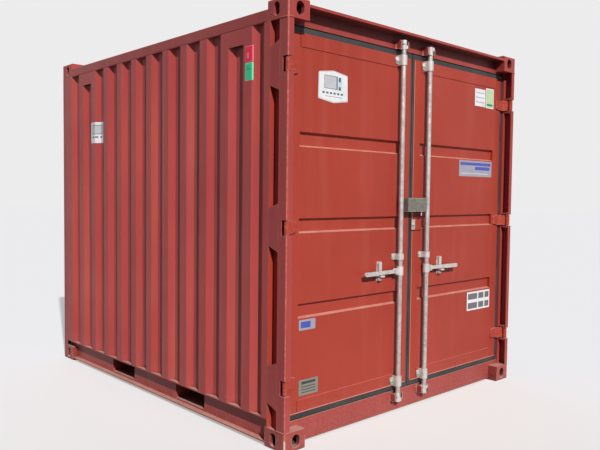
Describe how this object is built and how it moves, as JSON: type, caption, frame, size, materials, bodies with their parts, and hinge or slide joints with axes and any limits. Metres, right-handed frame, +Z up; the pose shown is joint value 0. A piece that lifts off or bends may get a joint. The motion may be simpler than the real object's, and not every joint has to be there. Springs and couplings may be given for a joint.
{
  "type": "ten-foot shipping container",
  "caption": "Short steel storage container with corrugated walls, a plywood floor, corner castings, fork pockets and a pair of hinged end doors with locking bars.",
  "frame": {"origin": "centre of the footprint, on the ground", "axes": "+X along the length towards the doors, +Y across towards the right-hand door's hinges, +Z up"},
  "size_m": [2.991, 2.438, 2.591],
  "materials": {
    "frame_red": "oxide red paint, satin",
    "sheet_red": "oxide red paint, satin",
    "door_red": "oxide red paint, satin",
    "cast_red": "oxide red paint on cast steel",
    "galvanised": "hot-dip galvanised, dull",
    "seal_rubber": "weathered black rubber",
    "floor_plywood": "plywood",
    "printed_labels": "blank vinyl labels",
    "label_plate": "blank metal plate"
  },
  "bodies": {
    "shell": {"bottom_corner_castings": "cast_red", "top_corner_castings": "cast_red", "door_post_angles": "frame_red", "door_post_channels": "frame_red", "post_gussets": "frame_red", "hinge_lugs": "frame_red", "hinge_pins": "galvanised", "rear_corner_posts": "frame_red", "door_header": "frame_red", "door_sill": "frame_red", "rear_top_rail": "frame_red", "rear_bottom_rail": "frame_red", "top_side_rails": "frame_red", "bottom_side_rails": "frame_red", "bottom_rail_ends": "frame_red", "fork_pockets": "frame_red", "cross_members": "frame_red", "floor_boards": "floor_plywood", "left_side_wall": "sheet_red", "right_side_wall": "sheet_red", "rear_wall": "sheet_red", "roof_sheet": "sheet_red", "vent_covers": "sheet_red", "cam_keepers": "frame_red"},
    "left_door": {"left_door_frame": "door_red", "left_door_sheet": "door_red", "left_door_seal": "seal_rubber", "left_hinge_blades": "door_red", "left_bar_brackets": "galvanised", "left_handle_catch": "galvanised", "left_lock_box": "galvanised"},
    "left_bar": {"left_lock_bar": "galvanised", "left_bar_fittings": "galvanised"},
    "left_bar_handle": {"left_handle": "galvanised"},
    "right_door": {"right_door_frame": "door_red", "right_door_sheet": "door_red", "right_door_seal": "seal_rubber", "right_hinge_blades": "door_red", "right_bar_brackets": "galvanised", "right_handle_catch": "galvanised", "right_lock_box": "galvanised", "seal_bracket": "door_red"},
    "right_bar": {"right_lock_bar": "galvanised", "right_bar_fittings": "galvanised"},
    "right_bar_handle": {"right_handle": "galvanised"}
  },
  "joints": [
    {"name": "left_door_swing", "type": "hinge", "parent": "shell", "child": "left_door", "pos_m": [1.474, -1.198, 1.295], "axis": [0, 0, -1], "range_deg": [0, 265]},
    {"name": "left_bar_turn", "type": "hinge", "parent": "left_door", "child": "left_bar", "pos_m": [1.451, -0.147, 0.975], "axis": [0, 0, -1], "range_deg": [-100, 0]},
    {"name": "left_handle_lift", "type": "hinge", "parent": "left_bar", "child": "left_bar_handle", "pos_m": [1.451, -0.192, 0.975], "axis": [-1, 0, 0], "range_deg": [0, 35]},
    {"name": "right_door_swing", "type": "hinge", "parent": "shell", "child": "right_door", "pos_m": [1.474, 1.198, 1.295], "axis": [0, 0, 1], "range_deg": [0, 265]},
    {"name": "right_bar_turn", "type": "hinge", "parent": "right_door", "child": "right_bar", "pos_m": [1.451, 0.147, 0.975], "axis": [0, 0, 1], "range_deg": [-100, 0]},
    {"name": "right_handle_lift", "type": "hinge", "parent": "right_bar", "child": "right_bar_handle", "pos_m": [1.451, 0.192, 0.975], "axis": [1, 0, 0], "range_deg": [0, 35]}
  ]
}
